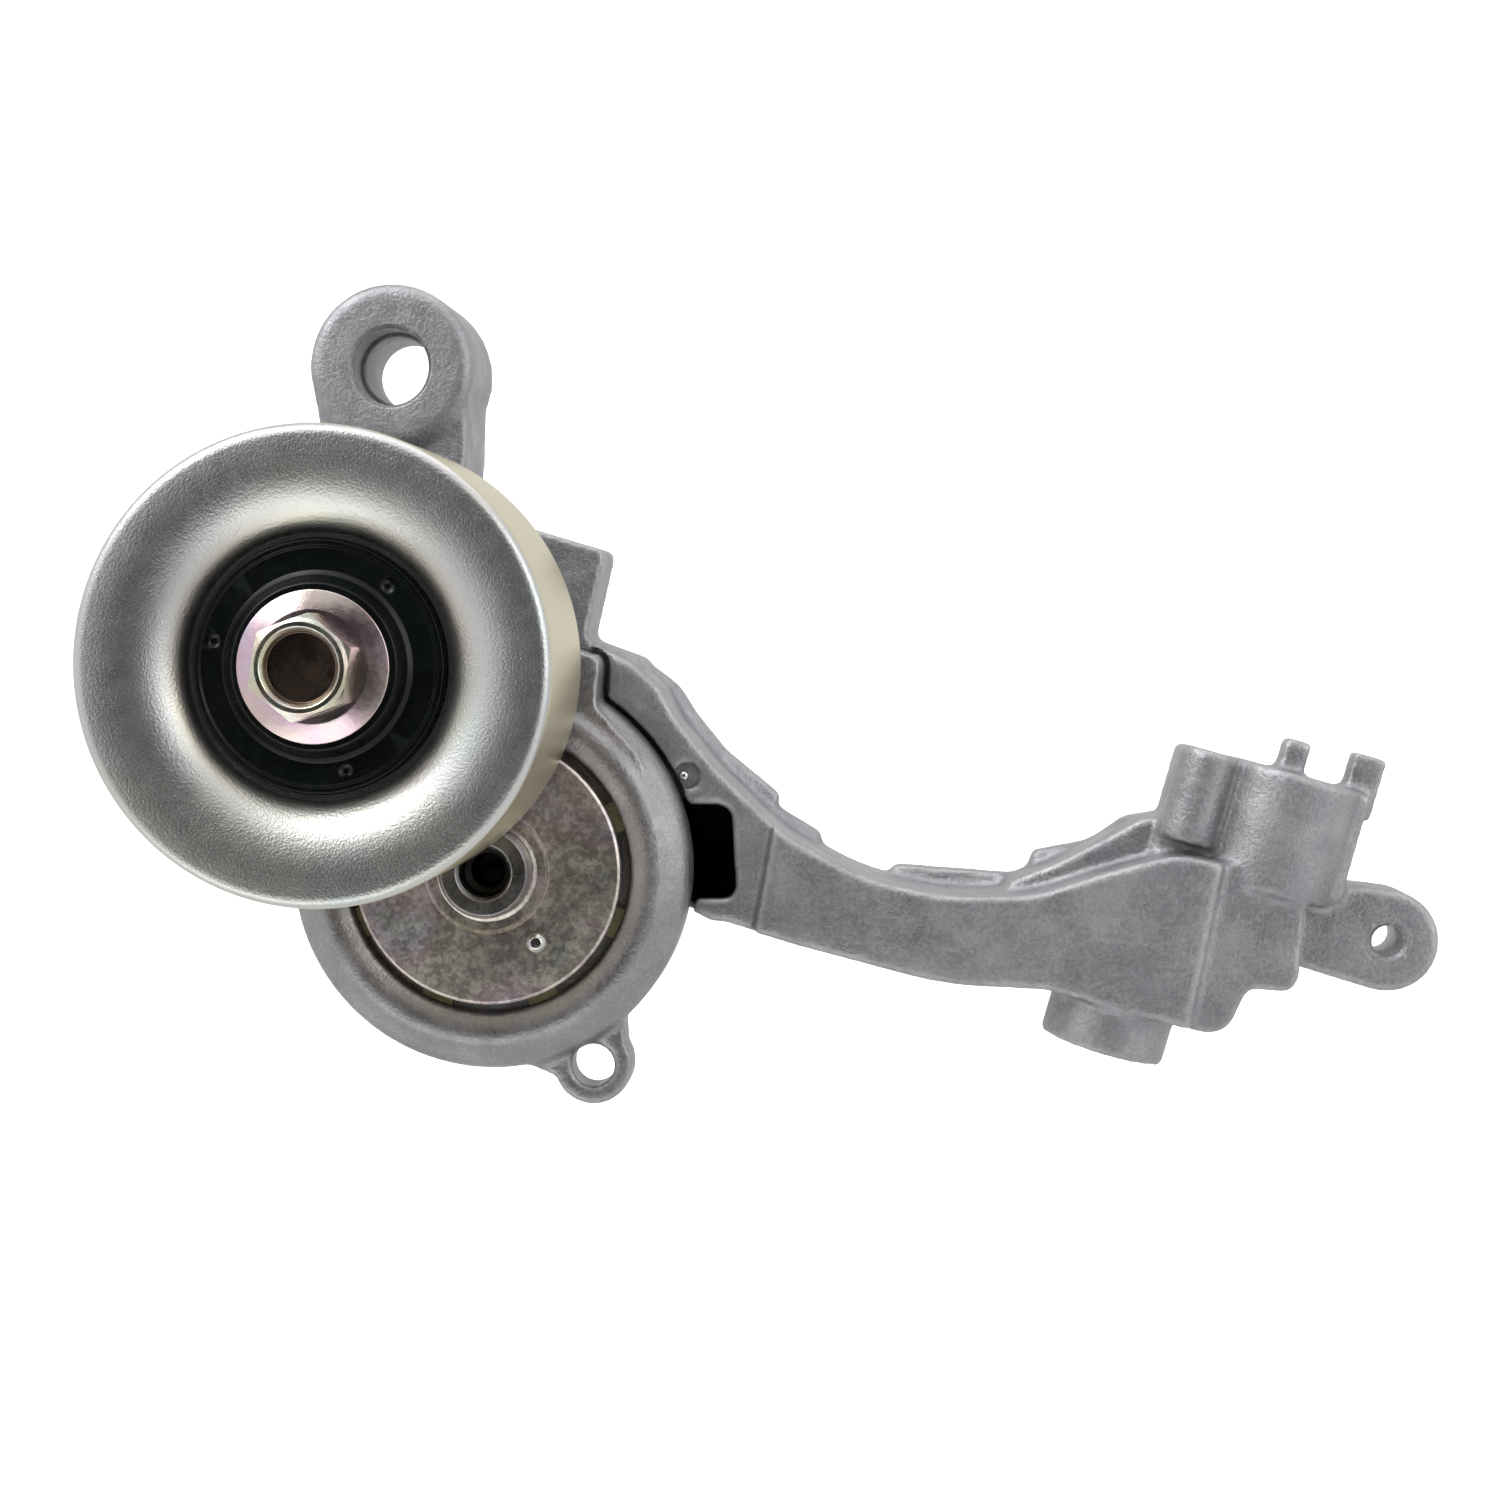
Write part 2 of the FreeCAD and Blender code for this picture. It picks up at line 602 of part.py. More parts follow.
turned("pulley_shell", [
    ("pulley_radius", "pulley_back"), ("pulley_radius", "pulley_front + 3.4"),
    ("pulley_radius - 0.48", "pulley_front + 1.7"), ("pulley_radius - 1.8", "pulley_front + 0.46"),
    ("pulley_radius - 3.6", "pulley_front"), ("bell_crest", "pulley_front"),
    ("bell_crest - bell_reach * 0.309", "bearing_front - bell_depth * 0.951"),
    ("bell_crest - bell_reach * 0.588", "bearing_front - bell_depth * 0.809"),
    ("bell_crest - bell_reach * 0.809", "bearing_front - bell_depth * 0.588"),
    ("bell_crest - bell_reach * 0.951", "bearing_front - bell_depth * 0.309"),
    ("seat_radius", "bearing_front"), ("seat_radius", "seat_back"),
    ("seat_radius + seat_wall", "seat_back"), ("seat_radius + seat_wall", "bearing_front"),
    ("bell_crest - bell_reach_back * 0.951", "bearing_front - bell_depth_back * 0.309"),
    ("bell_crest - bell_reach_back * 0.809", "bearing_front - bell_depth_back * 0.588"),
    ("bell_crest - bell_reach_back * 0.588", "bearing_front - bell_depth_back * 0.809"),
    ("bell_crest - bell_reach_back * 0.309", "bearing_front - bell_depth_back * 0.951"),
    ("bell_crest", "bearing_front - bell_depth_back"),
    ("pulley_radius - pulley_wall - 1.2", "bearing_front - bell_depth_back"),
    ("pulley_radius - pulley_wall", "bearing_front - bell_depth_back + 1.2"),
    ("pulley_radius - pulley_wall", "pulley_back"),
], *PULLEY)


def race(label, inside, outside):
    """One bearing ring, with the ball track cut round it."""
    middle = "(bearing_front + bearing_width / 2)"
    blank = doc.addObject("Part::Cylinder", label + "_blank")
    blank.setExpression("Radius", bound(outside))
    bore = doc.addObject("Part::Cylinder", label + "_bore")
    bore.setExpression("Radius", bound(inside))
    for cylinder in (blank, bore):
        cylinder.setExpression("Height", bound("bearing_width"))
        cylinder.Placement.Rotation = FreeCAD.Rotation(FreeCAD.Vector(1, 0, 0), -90)
        place(cylinder, "pulley_x", "bearing_front", "pulley_z")
    track = doc.addObject("Part::Torus", label + "_track")
    track.setExpression("Radius1", bound("pitch_radius"))
    track.setExpression("Radius2", bound("groove_radius"))
    track.Placement.Rotation = FreeCAD.Rotation(FreeCAD.Vector(1, 0, 0), -90)
    place(track, "pulley_x", middle, "pulley_z")
    tube = doc.addObject("Part::Cut", label + "_tube")
    tube.Base, tube.Tool = blank, bore
    result = doc.addObject("Part::Cut", label)
    result.Base, result.Tool = tube, track
    result.Label = label
    parts[label] = result


race("bearing_inner_ring", "bearing_bore", "inner_ring_radius")
race("bearing_outer_ring", "outer_ring_inside", "seat_radius")


def ball_spots():
    middle = dim("bearing_front") + dim("bearing_width") / 2
    for index in range(int(dim("ball_count"))):
        angle = 2 * math.pi * index / dim("ball_count")
        yield FreeCAD.Vector(dim("pulley_x") + dim("pitch_radius") * math.cos(angle), middle,
                             dim("pulley_z") + dim("pitch_radius") * math.sin(angle))


def bearing_cage():
    middle = dim("bearing_front") + dim("bearing_width") / 2
    px, pz, half = dim("pulley_x"), dim("pulley_z"), dim("cage_half_width")
    band = drum(px, pz, dim("cage_outside"), middle + half, middle - half).cut(
        drum(px, pz, dim("cage_inside"), middle + half + 1, middle - half - 1))
    centre = FreeCAD.Vector(px, middle, pz)
    return band.cut([
        Part.makeCylinder(dim("groove_radius"), 8, centre + (spot - centre) * 0.75, spot - centre)
        for spot in ball_spots()
    ])


balls = doc.addObject("Part::Feature", "bearing_balls")
balls.Label = "bearing_balls"
balls.Shape = Part.makeCompound([Part.makeSphere(dim("ball_radius"), s) for s in ball_spots()])
parts["bearing_balls"] = balls
feature("bearing_cage", bearing_cage())

ring("front_seal", "outer_ring_inside", "seal_inside",
     "bearing_front + seal_inset + seal_thickness", "seal_thickness", *PULLEY)
ring("rear_seal", "outer_ring_inside", "seal_inside",
     "bearing_front + bearing_width - seal_inset", "seal_thickness", *PULLEY)

turned("spacer_sleeve", [
    ("bolt_radius + 0.1", "washer_back + cover_skin"),
    ("sleeve_flange", "washer_back + cover_skin"), ("sleeve_flange", "bearing_front"),
    ("bearing_bore", "bearing_front"), ("bearing_bore", "arm_boss_front - 0.2"),
    ("bolt_radius + 0.1", "arm_boss_front - 0.2"),
], *PULLEY)

turned("dust_cover", [
    ("bolt_radius + 0.1", "washer_back"), ("cover_crown", "washer_back"),
    ("cover_crown + 0.8", "washer_back + 0.5"), ("cover_crown + 1.4", "cover_front"),
    ("cover_radius - 0.8", "cover_front"), ("cover_radius", "cover_front + 0.5"),
    ("cover_radius", "cover_front + cover_skin + 0.3"),
    ("cover_radius - 0.8", "cover_front + cover_skin"),
    ("cover_crown + 0.6", "cover_front + cover_skin"),
    ("cover_crown - 0.2", "washer_back + cover_skin"),
    ("bolt_radius + 0.1", "washer_back + cover_skin"),
], *PULLEY)

ring("rear_dust_shield", "shield_radius", "shield_inside", "shield_front + shield_thickness",
     "shield_thickness", *PULLEY)

turned("bolt_washer", [
    ("bolt_radius + 0.1", "washer_back"), ("washer_radius", "washer_back"),
    ("washer_radius", "washer_back - washer_rim"), ("hex_flats / 2 + 0.6", "hex_base"),
    ("bolt_radius + 0.1", "hex_base"),
], *PULLEY)


def pulley_bolt():
    """A hexagon-headed bolt with a round recess in its head."""
    px, pz = dim("pulley_x"), dim("pulley_z")
    base, top = dim("hex_base"), dim("hex_base") - dim("hex_height")
    corner = dim("hex_flats") / math.sqrt(3)
    angles = [math.radians(9.7 + 60 * index) for index in range(6)]
    head = slab([(px + corner * math.cos(a), pz - corner * math.sin(a), 0) for a in angles],
                base, top)
    chamfer = Part.makeCone(corner + 5.2, corner - 1.0, dim("hex_height") - 0.2,
                            FreeCAD.Vector(px, base, pz), FRONTWARDS)
    head = head.common(chamfer.fuse(drum(px, pz, dim("hex_flats") / 2 - 0.1, base, top)))
    shank = drum(px, pz, dim("bolt_radius"), dim("bolt_tip"), base)
    recess = drum(px, pz, dim("recess_radius"), top + dim("recess_depth"), top - 1)
    return head.fuse(shank).cut(recess)


feature("pulley_bolt", pulley_bolt())


# ---- checks and export -------------------------------------------------------------

doc.recompute()
for thing in doc.Objects:
    if {"Invalid", "Error"} & set(thing.State):
        raise RuntimeError(f"{thing.Label} failed: {thing.State}")
for name, piece in parts.items():
    shape = piece.Shape
    if shape.isNull() or not shape.isValid() or not shape.Solids:
        raise RuntimeError(f"{name} has no valid solid")
    print(f"{name:20s} solids {len(shape.Solids)} volume {shape.Volume:10.1f}")

os.makedirs("parts", exist_ok=True)
for name, piece in parts.items():
    piece.Shape.exportStep(f"parts/{name}.step")
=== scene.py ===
import json
import math

import bpy
from mathutils import Matrix, Vector


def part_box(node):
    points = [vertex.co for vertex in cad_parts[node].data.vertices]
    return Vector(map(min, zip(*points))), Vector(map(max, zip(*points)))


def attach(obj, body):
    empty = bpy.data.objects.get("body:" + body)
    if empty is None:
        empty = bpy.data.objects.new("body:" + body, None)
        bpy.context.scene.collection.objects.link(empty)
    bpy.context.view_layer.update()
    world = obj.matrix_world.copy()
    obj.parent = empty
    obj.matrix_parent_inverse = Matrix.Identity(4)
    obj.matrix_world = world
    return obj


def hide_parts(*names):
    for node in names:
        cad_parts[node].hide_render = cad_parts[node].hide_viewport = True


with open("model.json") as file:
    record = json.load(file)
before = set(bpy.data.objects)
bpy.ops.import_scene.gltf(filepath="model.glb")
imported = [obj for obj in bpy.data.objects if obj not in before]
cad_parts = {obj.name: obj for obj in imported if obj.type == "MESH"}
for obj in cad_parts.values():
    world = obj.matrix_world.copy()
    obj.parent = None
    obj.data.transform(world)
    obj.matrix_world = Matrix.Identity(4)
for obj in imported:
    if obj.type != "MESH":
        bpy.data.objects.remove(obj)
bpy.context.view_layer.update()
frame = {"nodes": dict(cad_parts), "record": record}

# Belt tensioner idler. Lengths in the piece functions are millimetres, turned into metres
# where a mesh is made. Pivot and pulley axes lie along Y, and the front is towards -Y.

MM = 0.001
JOINTS = {joint["name"]: joint for joint in frame["record"]["behaviour"]["joints"]}
MOUNTS = {mount["name"]: mount for mount in frame["record"]["mounts"]}
PIVOT = Vector(JOINTS["arm_pivot"]["pos_m"]) / MM
PULLEY = Vector(JOINTS["pulley_spin"]["pos_m"]) / MM
LUG = Vector(MOUNTS["lug_bore"]["pos_m"]) / MM
BEAM_EAR = Vector(MOUNTS["beam_ear_thread"]["pos_m"]) / MM
SERVICE = Vector(MOUNTS["arm_service_hole"]["pos_m"]) / MM
LUG_FRONT, EAR_FRONT = -20.0, -14.0


def span(node):
    """A node's lowest and highest corners, in millimetres."""
    low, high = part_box(node)
    return Vector(low) / MM, Vector(high) / MM


# ---- shading groups ------------------------------------------------------------------

def new_group(name, inputs, outputs):
    group = bpy.data.node_groups.new(name, "ShaderNodeTree")
    for label, kind, value in inputs:
        socket = group.interface.new_socket(label, in_out="INPUT", socket_type=kind)
        socket.default_value = value
    for label, kind in outputs:
        group.interface.new_socket(label, in_out="OUTPUT", socket_type=kind)
    return group, group.nodes.new("NodeGroupInput"), group.nodes.new("NodeGroupOutput")


def noise(tree, scale, detail=4.0, roughness=0.6, distortion=0.0):
    node = tree.nodes.new("ShaderNodeTexNoise")
    node.inputs["Detail"].default_value = detail
    node.inputs["Roughness"].default_value = roughness
    node.inputs["Distortion"].default_value = distortion
    coordinates = tree.nodes.new("ShaderNodeTexCoord")
    tree.links.new(coordinates.outputs["Object"], node.inputs["Vector"])
    if isinstance(scale, float):
        node.inputs["Scale"].default_value = scale
    else:
        tree.links.new(scale, node.inputs["Scale"])
    return node.outputs["Fac"]


def stretch(tree, value, low, high, to_low=0.0, to_high=1.0):
    node = tree.nodes.new("ShaderNodeMapRange")
    for label, amount in (("From Min", low), ("From Max", high),
                          ("To Min", to_low), ("To Max", to_high)):
        if isinstance(amount, (int, float)):
            node.inputs[label].default_value = amount
        else:
            tree.links.new(amount, node.inputs[label])
    tree.links.new(value, node.inputs["Value"])
    return node.outputs["Result"]


def arithmetic(tree, operation, first, second):
    node = tree.nodes.new("ShaderNodeMath")
    node.operation = operation
    for socket, value in zip(node.inputs, (first, second)):
        if isinstance(value, (int, float)):
            socket.default_value = value
        else:
            tree.links.new(value, socket)
    return node.outputs["Value"]


def blend_colours(tree, factor, first, second, blend="MIX"):
    node = tree.nodes.new("ShaderNodeMix")
    node.data_type = "RGBA"
    node.blend_type = blend
    sockets = {socket.identifier: socket for socket in node.inputs}
    for name, value in (("Factor_Float", factor), ("A_Color", first), ("B_Color", second)):
        if isinstance(value, (int, float, tuple)):
            sockets[name].default_value = value
        else:
            tree.links.new(value, sockets[name])
    return next(socket for socket in node.outputs if socket.identifier == "Result_Color")


def colour_ramp(tree, factor, stops):
    node = tree.nodes.new("ShaderNodeValToRGB")
    ramp = node.color_ramp
    while len(ramp.elements) < len(stops):
        ramp.elements.new(0.5)
    for element, (position, colour) in zip(ramp.elements, stops):
        element.position = position
        element.color = (*colour, 1.0)
    tree.links.new(factor, node.inputs["Fac"])
    return node.outputs["Color"]


def make_mottle():
    """Two tones mixed in soft blotches, with finer specks over them."""
    group, entry, leave = new_group("mottle", [
        ("Light", "NodeSocketColor", (0.6, 0.6, 0.6, 1)),
        ("Dark", "NodeSocketColor", (0.5, 0.5, 0.5, 1)),
        ("Blotch Scale", "NodeSocketFloat", 150.0), ("Speck Scale", "NodeSocketFloat", 2500.0),
        ("Speck Amount", "NodeSocketFloat", 0.3),
    ], [("Color", "NodeSocketColor"), ("Mask", "NodeSocketFloat")])
    blotches = stretch(group, noise(group, entry.outputs["Blotch Scale"], 5.0), 0.35, 0.65)
    specks = stretch(group, noise(group, entry.outputs["Speck Scale"], 2.0), 0.4, 0.62, -0.5, 0.5)
    specks = arithmetic(group, "MULTIPLY", specks, entry.outputs["Speck Amount"])
    mask = arithmetic(group, "ADD", blotches, specks)
    colour = blend_colours(group, mask, entry.outputs["Dark"], entry.outputs["Light"])
    group.links.new(colour, leave.inputs["Color"])
    group.links.new(mask, leave.inputs["Mask"])
    return group


def make_plating_tint():
    """The pink, yellow, green and blue film that passivation leaves on zinc plating."""
    group, entry, leave = new_group("plating_tint", [
        ("Color", "NodeSocketColor", (0.7, 0.7, 0.7, 1)),
        ("Amount", "NodeSocketFloat", 0.3), ("Scale", "NodeSocketFloat", 40.0),
    ], [("Color", "NodeSocketColor")])
    film = stretch(group, noise(group, entry.outputs["Scale"], 2.0, 0.5, 0.6), 0.3, 0.7)
    rainbow = colour_ramp(group, film, [
        (0.00, (0.55, 0.78, 0.70)), (0.22, (0.86, 0.90, 0.62)), (0.42, (0.95, 0.80, 0.62)),
        (0.58, (0.93, 0.66, 0.78)), (0.76, (0.72, 0.70, 0.92)), (1.00, (0.60, 0.86, 0.80)),
    ])
    tinted = blend_colours(group, 1.0, entry.outputs["Color"], rainbow, "MULTIPLY")
    colour = blend_colours(group, entry.outputs["Amount"], entry.outputs["Color"], tinted)
    group.links.new(colour, leave.inputs["Color"])
    return group


def make_surface():
    """Grain: a bump of coarse and fine noise, and a roughness that varies with it."""
    group, entry, leave = new_group("surface_grain", [
        ("Scale", "NodeSocketFloat", 1500.0), ("Height", "NodeSocketFloat", 0.00005),
        ("Waviness", "NodeSocketFloat", 0.2), ("Smoothest", "NodeSocketFloat", 0.3),
        ("Roughest", "NodeSocketFloat", 0.5),
    ], [("Normal", "NodeSocketVector"), ("Roughness", "NodeSocketFloat")])
    fine = noise(group, entry.outputs["Scale"], 3.0, 0.65)
    coarse_scale = arithmetic(group, "MULTIPLY", entry.outputs["Scale"], 0.12)
    coarse = noise(group, coarse_scale, 2.0)
    coarse_height = arithmetic(group, "MULTIPLY", coarse, entry.outputs["Waviness"])
    height = arithmetic(group, "ADD", fine, coarse_height)
    bump = group.nodes.new("ShaderNodeBump")
    group.links.new(height, bump.inputs["Height"])
    group.links.new(entry.outputs["Height"], bump.inputs["Distance"])
    group.links.new(bump.outputs["Normal"], leave.inputs["Normal"])
    variation = arithmetic(group, "ADD", arithmetic(group, "MULTIPLY", coarse, 0.7),
                           arithmetic(group, "MULTIPLY", fine, 0.3))
    rough = stretch(group, variation, 0.35, 0.65,
                    entry.outputs["Smoothest"], entry.outputs["Roughest"])
    group.links.new(rough, leave.inputs["Roughness"])
    return group


def make_edge_wear():
    """Rubbed, brighter metal along outside edges, and a darker colour in the inside corners."""
    group, entry, leave = new_group("edge_wear", [
        ("Color", "NodeSocketColor", (0.6, 0.6, 0.6, 1)),
        ("Edge", "NodeSocketColor", (0.8, 0.8, 0.8, 1)), ("Amount", "NodeSocketFloat", 0.5),
        ("Grime", "NodeSocketFloat", 0.3),
    ], [("Color", "NodeSocketColor")])
    shape = group.nodes.new("ShaderNodeNewGeometry").outputs["Pointiness"]
    breakup = stretch(group, noise(group, 900.0, 4.0), 0.3, 0.7, 0.3, 1.0)
    edges = arithmetic(group, "MULTIPLY", stretch(group, shape, 0.515, 0.58), breakup)
    edges = arithmetic(group, "MULTIPLY", edges, entry.outputs["Amount"])
    # Inside corners, found by pointiness, are mixed towards dark grey by this amount.
    corners = stretch(group, shape, 0.485, 0.42)
    corners = arithmetic(group, "MULTIPLY", corners, entry.outputs["Grime"])
    darkened = blend_colours(group, corners, entry.outputs["Color"], (0.10, 0.10, 0.10, 1))
    colour = blend_colours(group, edges, darkened, entry.outputs["Edge"])
    group.links.new(colour, leave.inputs["Color"])
    return group


def make_axis_distance():
    """How far a point is from an axis along Y, and how deep it lies."""
    group, entry, leave = new_group("axis_distance", [
        ("Axis X", "NodeSocketFloat", 0.0), ("Axis Z", "NodeSocketFloat", 0.0),
    ], [("Distance", "NodeSocketFloat"), ("Depth", "NodeSocketFloat")])
    coordinates = group.nodes.new("ShaderNodeTexCoord")
    split = group.nodes.new("ShaderNodeSeparateXYZ")
    group.links.new(coordinates.outputs["Object"], split.inputs["Vector"])
    squares = []
    for axis in "XZ":
        away = arithmetic(group, "SUBTRACT", split.outputs[axis], entry.outputs[f"Axis {axis}"])
        squares.append(arithmetic(group, "MULTIPLY", away, away))
    distance = arithmetic(group, "SQRT", arithmetic(group, "ADD", *squares), 0.0)
    group.links.new(distance, leave.inputs["Distance"])
    group.links.new(split.outputs["Y"], leave.inputs["Depth"])
    return group


MOTTLE = make_mottle()
AXIS_DISTANCE = make_axis_distance()
PLATING = make_plating_tint()
SURFACE = make_surface()
EDGE_WEAR = make_edge_wear()


def use_group(tree, group, **values):
    node = tree.nodes.new("ShaderNodeGroup")
    node.node_tree = group
    for label, value in values.items():
        socket = node.inputs[label.replace("_", " ")]
        if isinstance(value, (int, float, tuple)):
            socket.default_value = value
        else:
            tree.links.new(value, socket)
    return node


def rgba(colour):
    return (*colour, 1.0)


def finish_material(name, light, dark, metallic, smoothest, roughest, grain, height,
                    blotch=150.0, specks=0.3, waviness=0.3, tint=0.0, tint_scale=40.0,
                    edge=None, wear=0.4, corner_darkening=0.3, coat=0.0, specular=0.5):
    """A finish built from the shared groups; the constants sit on the shader itself."""
    material = bpy.data.materials.new(name)
    material.use_nodes = True
    tree = material.node_tree
    shader = tree.nodes["Principled BSDF"]
    shader.inputs["Metallic"].default_value = metallic
    shader.inputs["Coat Weight"].default_value = coat
    shader.inputs["Specular IOR Level"].default_value = specular
    colour = use_group(tree, MOTTLE, Light=rgba(light), Dark=rgba(dark), Blotch_Scale=blotch,
                       Speck_Scale=grain, Speck_Amount=specks).outputs["Color"]
    if tint:
        colour = use_group(tree, PLATING, Color=colour, Amount=tint,
                           Scale=tint_scale).outputs["Color"]
    colour = use_group(tree, EDGE_WEAR, Color=colour, Edge=rgba(edge or light), Amount=wear,
                       Grime=corner_darkening).outputs["Color"]
    tree.links.new(colour, shader.inputs["Base Color"])
    surface = use_group(tree, SURFACE, Scale=grain, Height=height, Waviness=waviness,
                        Smoothest=smoothest, Roughest=roughest)
    tree.links.new(surface.outputs["Roughness"], shader.inputs["Roughness"])
    tree.links.new(surface.outputs["Normal"], shader.inputs["Normal"])
    return material


def recolour(material, colour, mask):
    """Lays another colour over a finish wherever a mask built in its own tree is 1."""
    tree = material.node_tree
    socket = tree.nodes["Principled BSDF"].inputs["Base Color"]
    source = socket.links[0].from_socket
    factor = mask(tree)
    tree.links.new(blend_colours(tree, factor, source, colour), socket)


def both(tree, first, second):
    return arithmetic(tree, "MULTIPLY", first, second)


def from_axis(tree, axis):
    """How far a point is from an axis along Y, and its depth, as the group's outputs."""
    return use_group(tree, AXIS_DISTANCE, Axis_X=axis.x * MM, Axis_Z=axis.z * MM).outputs


def belt_zone(tree):
    """1 on the cylinder that the belt runs on."""
    low, high = span("pulley_shell")
    radius = (high.x - low.x) / 2
    place = from_axis(tree, PULLEY)
    start, end = radius - 0.25, radius - 0.05
    return stretch(tree, place["Distance"], start * MM, end * MM)


def turning_marks(tree):
    """Fine rings near the crest of the pulley's face."""
    place = from_axis(tree, PULLEY)
    rings = tree.nodes.new("ShaderNodeTexNoise")
    rings.noise_dimensions = "1D"
    rings.inputs["Scale"].default_value = 2600.0
    tree.links.new(place["Distance"], rings.inputs["W"])
    inner_start, inner_end, outer_start, outer_end = 28.5, 30.0, 34.0, 32.5
    strength = 0.45
    near = both(tree, stretch(tree, place["Distance"], inner_start * MM, inner_end * MM),
                stretch(tree, place["Distance"], outer_start * MM, outer_end * MM))
    lines = stretch(tree, rings.outputs["Fac"], 0.45, 0.7)
    return both(tree, both(tree, near, lines), strength)


def recess_zone(tree):
    """1 on the floor of the bolt's recess."""
    top = span("pulley_bolt")[0].y
    place = from_axis(tree, PULLEY)
    return both(tree, stretch(tree, place["Distance"], 5.5 * MM, 5.2 * MM),
                stretch(tree, place["Depth"], (top + 0.8) * MM, (top + 1.4) * MM))


def post_bore_shade_zone(tree):
    """1 down inside the hole in the post, where near-black painted shade is laid."""
    front = span("pivot_post")[0].y
    place = from_axis(tree, PIVOT)
    return both(tree, stretch(tree, place["Distance"], 4.3 * MM, 3.8 * MM),
                stretch(tree, place["Depth"], (front + 0.9) * MM, (front + 3.0) * MM))


def window_shade_zone(tree):
    """1 on the walls inside the window between the ring and the beam, short of either face: where
    near-black painted shade is laid.
    """
    mouth, floor = (-19.4, -18.2), (-1.0, -2.0)
    sides = (("X", 27.5, 40.6), ("Z", -6.2, 11.2))
    fade = 0.4
    coordinates = tree.nodes.new("ShaderNodeTexCoord")
    split = tree.nodes.new("ShaderNodeSeparateXYZ")
    tree.links.new(coordinates.outputs["Object"], split.inputs["Vector"])
    mask = both(tree, stretch(tree, split.outputs["Y"], mouth[0] * MM, mouth[1] * MM),
                stretch(tree, split.outputs["Y"], floor[0] * MM, floor[1] * MM))
    for axis, low, high in sides:
        above = stretch(tree, split.outputs[axis], low * MM, (low + fade) * MM)
        below = stretch(tree, split.outputs[axis], high * MM, (high - fade) * MM)
        mask = both(tree, both(tree, mask, above), below)
    return mask


FINISHES = {
    "cast_aluminium": finish_material(
        "bracket_casting", (0.425, 0.425, 0.44), (0.32, 0.315, 0.335), 0.80, 0.38, 0.56, 1700.0,
        0.00014, blotch=110.0, specks=0.6, waviness=1.6, edge=(0.72, 0.72, 0.72), wear=0.65),
    "cast_aluminium_arm": finish_material(
        "arm_casting", (0.40, 0.385, 0.387), (0.30, 0.287, 0.292), 0.85, 0.33, 0.50, 1900.0,
        0.00011, blotch=90.0, specks=0.6, waviness=1.4, edge=(0.74, 0.73, 0.72), wear=0.6),
    "turned_aluminium": finish_material(
        "turned_post", (0.34, 0.33, 0.32), (0.22, 0.21, 0.21), 1.0, 0.22, 0.42, 1400.0,
        0.00005, blotch=200.0, edge=(0.8, 0.8, 0.8), wear=0.7, corner_darkening=0.6),
    "passivated_steel": finish_material(
        "passivated_plate", (0.76, 0.73, 0.70), (0.50, 0.455, 0.445), 0.95, 0.30, 0.46, 1300.0,
        0.00004, blotch=420.0, specks=0.9, waviness=0.8, tint=0.35, tint_scale=60.0,
        edge=(0.62, 0.60, 0.57), wear=0.4),
    "passivated_washer": finish_material(
        "iridescent_washer", (0.78, 0.72, 0.76), (0.66, 0.56, 0.62), 1.0, 0.16, 0.30, 900.0,
        0.00002, blotch=60.0, specks=0.2, waviness=1.0, tint=0.55, tint_scale=45.0,
        edge=(0.85, 0.85, 0.8), wear=0.1, corner_darkening=0.0),
    "passivated_bolt": finish_material(
        "iridescent_bolt", (0.74, 0.73, 0.62), (0.56, 0.53, 0.44), 1.0, 0.18, 0.32, 1200.0,
        0.00003, blotch=120.0, specks=0.3, waviness=0.8, tint=0.35, tint_scale=90.0,
        edge=(0.86, 0.85, 0.74), wear=0.3, corner_darkening=0.1),
    "plated_pulley_steel": finish_material(
        "plated_pulley", (0.655, 0.67, 0.65), (0.62, 0.63, 0.615), 1.0, 0.31, 0.35, 2400.0,
        0.00007, blotch=45.0, specks=0.6, waviness=0.0, tint=0.12, tint_scale=22.0,
        edge=(0.75, 0.76, 0.74), wear=0.0, corner_darkening=0.0),
    "black_cover": finish_material(
        "black_coat", (0.004, 0.006, 0.006), (0.002, 0.003, 0.003), 0.0, 0.20, 0.34, 1500.0,
        0.00001, blotch=200.0, edge=(0.03, 0.036, 0.036), wear=0.5, corner_darkening=0.0, specular=0.30),
    "olive_plastic": finish_material(
        "olive_nylon", (0.20, 0.185, 0.085), (0.14, 0.13, 0.06), 0.0, 0.42, 0.6, 900.0,
        0.00004, blotch=300.0, edge=(0.3, 0.28, 0.14), wear=0.3),
    "bearing_plastic": finish_material(
        "filled_nylon", (0.09, 0.085, 0.08), (0.05, 0.05, 0.045), 0.0, 0.4, 0.6, 1200.0,
        0.00004, blotch=300.0, edge=(0.16, 0.15, 0.14), wear=0.3),
    "cage_plastic": finish_material(
        "cage_nylon", (0.52, 0.46, 0.33), (0.44, 0.39, 0.27), 0.0, 0.35, 0.5, 1200.0,
        0.00003, blotch=300.0, wear=0.2),
    "seal_rubber": finish_material(
        "seal_rubber", (0.035, 0.035, 0.035), (0.02, 0.02, 0.02), 0.0, 0.5, 0.7, 1600.0,
        0.00004, blotch=300.0, edge=(0.08, 0.08, 0.08), wear=0.3),
    "bright_steel": finish_material(
        "bright_steel", (0.72, 0.72, 0.71), (0.6, 0.6, 0.59), 1.0, 0.14, 0.28, 1200.0,
        0.00002, blotch=300.0, edge=(0.85, 0.85, 0.85), wear=0.4),
    "bearing_steel": finish_material(
        "ground_steel", (0.70, 0.70, 0.71), (0.62, 0.62, 0.63), 1.0, 0.1, 0.2, 2000.0,
        0.00001, blotch=300.0, wear=0.3),
    "spring_steel": finish_material(
        "spring_wire", (0.16, 0.16, 0.165), (0.09, 0.09, 0.095), 0.9, 0.3, 0.5, 1400.0,
        0.00005, blotch=250.0, edge=(0.3, 0.3, 0.3), wear=0.5),
}


